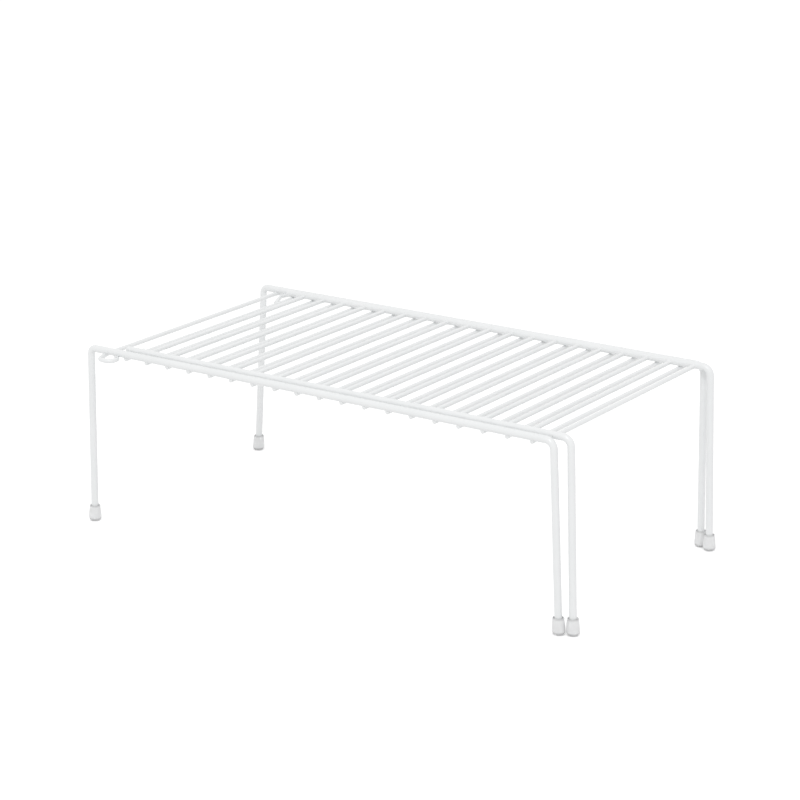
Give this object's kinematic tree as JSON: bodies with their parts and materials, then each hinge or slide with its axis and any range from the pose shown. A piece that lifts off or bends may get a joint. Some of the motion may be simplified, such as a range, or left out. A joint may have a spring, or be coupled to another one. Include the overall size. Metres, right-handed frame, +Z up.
{
  "type": "expandable wire shelf",
  "caption": "Low open wire shelf on slim legs, closed, with an inner frame that slides out sideways to lengthen it and push-on foot caps.",
  "frame": {"origin": "on the floor, under the middle of the closed shelf's box", "axes": "+X the way the extension frame slides out, along the rails; +Y from the front rail to the back rail; +Z up"},
  "size_m": [0.4282, 0.244, 0.1426],
  "materials": {
    "coated_wire": "smooth glossy white coating over steel wire",
    "foot_cap": "soft translucent colourless vinyl, slightly frosted"
  },
  "bodies": {
    "main_frame": {"main_front_side_wire": "coated_wire", "main_front_left_foot_cap": "foot_cap", "main_front_right_foot_cap": "foot_cap", "main_back_side_wire": "coated_wire", "main_back_left_foot_cap": "foot_cap", "main_back_right_foot_cap": "foot_cap", "main_loop_wire": "coated_wire", "main_crosswire_01": "coated_wire", "main_crosswire_02": "coated_wire", "main_crosswire_03": "coated_wire", "main_crosswire_04": "coated_wire", "main_crosswire_05": "coated_wire", "main_crosswire_06": "coated_wire", "main_crosswire_07": "coated_wire", "main_crosswire_08": "coated_wire", "main_crosswire_09": "coated_wire", "main_crosswire_10": "coated_wire", "main_crosswire_11": "coated_wire", "main_crosswire_12": "coated_wire", "main_crosswire_13": "coated_wire", "main_crosswire_14": "coated_wire", "main_crosswire_15": "coated_wire", "main_crosswire_16": "coated_wire", "main_crosswire_17": "coated_wire", "main_crosswire_18": "coated_wire", "main_crosswire_19": "coated_wire"},
    "extension_frame": {"extension_front_side_wire": "coated_wire", "extension_front_foot_cap": "foot_cap", "extension_back_side_wire": "coated_wire", "extension_back_foot_cap": "foot_cap", "extension_crosswire_01": "coated_wire", "extension_crosswire_02": "coated_wire", "extension_crosswire_03": "coated_wire", "extension_crosswire_04": "coated_wire", "extension_crosswire_05": "coated_wire", "extension_crosswire_06": "coated_wire", "extension_crosswire_07": "coated_wire", "extension_crosswire_08": "coated_wire", "extension_crosswire_09": "coated_wire", "extension_crosswire_10": "coated_wire", "extension_crosswire_11": "coated_wire", "extension_crosswire_12": "coated_wire", "extension_crosswire_13": "coated_wire", "extension_crosswire_14": "coated_wire", "extension_crosswire_15": "coated_wire", "extension_crosswire_16": "coated_wire", "extension_crosswire_17": "coated_wire", "extension_crosswire_18": "coated_wire", "extension_crosswire_19": "coated_wire"}
  },
  "joints": [
    {"name": "extension_slide", "type": "slide", "parent": "main_frame", "child": "extension_frame", "axis": [1, 0, 0], "range_m": [0, 0.3]}
  ]
}
